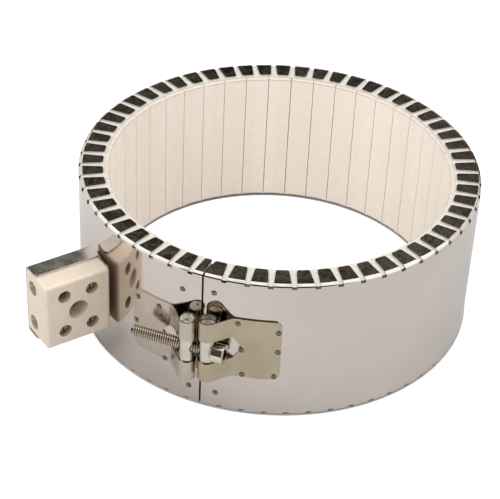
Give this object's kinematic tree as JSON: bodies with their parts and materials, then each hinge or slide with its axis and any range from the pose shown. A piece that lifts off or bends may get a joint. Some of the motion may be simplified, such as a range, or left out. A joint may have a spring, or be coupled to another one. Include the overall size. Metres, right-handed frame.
{
  "type": "band heater",
  "caption": "Split band heater: polished sheet casing with folded tabs over ceramic strips, a screw clamp at the seam and a ceramic terminal block beside it.",
  "frame": {"origin": "on the bore axis at mid-width of the band", "axes": "+Z along the bore axis; the clamp seam faces -Y and the clamp screw's head points to +X"},
  "size_m": [0.176, 0.1894, 0.068],
  "materials": {
    "polished_sheet": "mirror polished stainless sheet",
    "clamp_sheet": "bright rolled steel sheet",
    "bracket_sheet": "bright rolled steel sheet",
    "plated_steel": "bright plated steel",
    "brass": "turned brass",
    "ivory_ceramic": "matt pressed ceramic",
    "porcelain": "lightly glazed porcelain",
    "fibre": "soft ceramic fibre",
    "resistance_wire": "drawn resistance wire"
  },
  "bodies": {
    "heater": {"casing": "polished_sheet", "right_end_strip": "polished_sheet", "left_end_strip": "polished_sheet", "ceramic_strips": "ivory_ceramic", "heating_coil": "resistance_wire", "insulation_blanket": "fibre", "upper_end_paper": "fibre", "lower_end_paper": "fibre", "right_clamp_bracket": "clamp_sheet", "left_clamp_bracket": "clamp_sheet", "tapped_pin": "plated_steel", "plain_pin": "plated_steel", "terminal_block": "porcelain", "upper_terminal_insert": "brass", "lower_terminal_insert": "brass", "terminal_bracket": "bracket_sheet", "fixing_screw": "plated_steel", "fixing_nut": "plated_steel", "upper_lead_bush": "ivory_ceramic", "lower_lead_bush": "ivory_ceramic", "upper_lead": "resistance_wire", "lower_lead": "resistance_wire"},
    "clamp_screw": {"clamp_screw": "plated_steel"},
    "outer_upper_screw": {"outer_upper_screw": "plated_steel"},
    "inner_upper_screw": {"inner_upper_screw": "plated_steel"},
    "outer_lower_screw": {"outer_lower_screw": "plated_steel"},
    "inner_lower_screw": {"inner_lower_screw": "plated_steel"}
  },
  "joints": [
    {"name": "clamp_screw_travel", "type": "slide", "parent": "heater", "child": "clamp_screw", "axis": [1, 0, 0], "range_m": [0, 0.027]},
    {"name": "outer_upper_screw_travel", "type": "slide", "parent": "heater", "child": "outer_upper_screw", "axis": [0.809, -0.5878, 0], "range_m": [0, 0.0036]},
    {"name": "inner_upper_screw_travel", "type": "slide", "parent": "heater", "child": "inner_upper_screw", "axis": [0.809, -0.5878, 0], "range_m": [0, 0.0021]},
    {"name": "outer_lower_screw_travel", "type": "slide", "parent": "heater", "child": "outer_lower_screw", "axis": [0.809, -0.5878, 0], "range_m": [-0.0018, 0.0021]},
    {"name": "inner_lower_screw_travel", "type": "slide", "parent": "heater", "child": "inner_lower_screw", "axis": [0.809, -0.5878, 0], "range_m": [0, 0.0021]}
  ]
}
